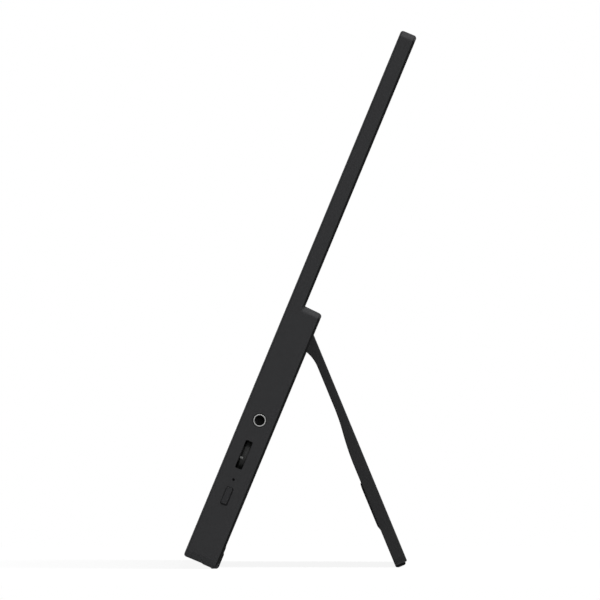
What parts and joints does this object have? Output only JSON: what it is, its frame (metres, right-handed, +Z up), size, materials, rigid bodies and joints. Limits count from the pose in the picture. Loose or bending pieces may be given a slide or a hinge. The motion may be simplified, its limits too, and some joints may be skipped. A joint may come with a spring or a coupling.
{
  "type": "portable monitor",
  "caption": "Slim portable monitor leaning back on a fold-out kickstand hinged in its thicker lower back, with a headphone socket, thumb wheel and power key on one edge.",
  "frame": {"origin": "centre of the bounding box's base: the table under the standing monitor", "axes": "+X to the right of a person in front of the screen, +Y from the screen to the back, +Z up"},
  "size_m": [0.3554, 0.0912, 0.211],
  "materials": {
    "housing_plastic": "fine matte texture",
    "bezel_plastic": "fine matte texture",
    "stand_plastic": "fine matte texture",
    "key_plastic": "satin",
    "wheel_plastic": "satin",
    "inner_plastic": "plain",
    "rubber": "matte",
    "tape": "matte",
    "screen_glass": "anti-glare",
    "film": "translucent sheet",
    "guide": "clear sheet",
    "white_sheet": "white sheet",
    "tray_metal": "rolled sheet",
    "frame_metal": "stamped sheet",
    "steel": "plain",
    "dark_steel": "blackened",
    "ring_metal": "polished",
    "board": "lacquered board",
    "foil": "amber foil",
    "cable": "flat cable",
    "clear": "clear",
    "speaker_box": "plain",
    "grille_metal": "powder coat"
  },
  "bodies": {
    "monitor": {"front_bezel": "bezel_plastic", "bezel_tape": "tape", "lcd_cell": "screen_glass", "optical_films": "film", "light_guide": "guide", "reflector_sheet": "white_sheet", "led_bar": "white_sheet", "backlight_tray": "tray_metal", "panel_driver_board": "board", "panel_flex_tabs": "foil", "panel_adhesive_strips": "tape", "mid_frame": "frame_metal", "rear_housing": "housing_plastic", "housing_foot_right": "rubber", "housing_foot_left": "rubber", "hinge_leaf_right": "dark_steel", "hinge_leaf_left": "dark_steel", "hinge_screws": "dark_steel", "closing_screws": "dark_steel", "frame_screws": "steel", "board_screws": "steel", "headphone_jack": "inner_plastic", "jack_ring": "ring_metal", "jog_switch_base": "inner_plastic", "power_switch": "steel", "light_pipe": "clear", "status_led": "white_sheet", "control_board": "board", "main_board": "board", "board_shield": "tray_metal", "usb_c_shells": "steel", "usb_c_tongues": "inner_plastic", "mini_hdmi_shell": "steel", "mini_hdmi_tongue": "inner_plastic", "speaker_right": "speaker_box", "speaker_left": "speaker_box", "speaker_grille_right": "grille_metal", "speaker_grille_left": "grille_metal", "control_ribbon": "cable", "panel_ribbon": "cable"},
    "kickstand": {"stand_shell": "stand_plastic", "stand_cover": "stand_plastic", "stand_core": "steel", "stand_buffer": "stand_plastic", "stand_foot_strip": "rubber", "stand_screws": "dark_steel", "hinge_pin_right": "steel", "hinge_pin_left": "steel"},
    "power_button": {"power_button": "key_plastic"},
    "jog_carrier": {"jog_carrier": "inner_plastic"},
    "jog_wheel": {"jog_wheel": "wheel_plastic"}
  },
  "joints": [
    {"name": "kickstand_hinge", "type": "hinge", "parent": "monitor", "child": "kickstand", "pos_m": [-0.00022, 0.00228, 0.09169], "axis": [1, 0, 0], "range_deg": [-45, 30]},
    {"name": "power_button_press", "type": "slide", "parent": "monitor", "child": "power_button", "axis": [-1, 0, 0], "range_m": [0, 0.00035], "stiffness_N_per_m": 800, "springref_m": -0.0005},
    {"name": "jog_press", "type": "slide", "parent": "monitor", "child": "jog_carrier", "axis": [-1, 0, 0], "range_m": [0, 0.0004], "stiffness_N_per_m": 1200, "springref_m": -0.0004},
    {"name": "jog_turn", "type": "hinge", "parent": "jog_carrier", "child": "jog_wheel", "pos_m": [0.16983, -0.02164, 0.04461], "axis": [0, 0.9236, -0.3833], "range_deg": [-12, 12], "stiffness_Nm_per_rad": 0.02}
  ]
}
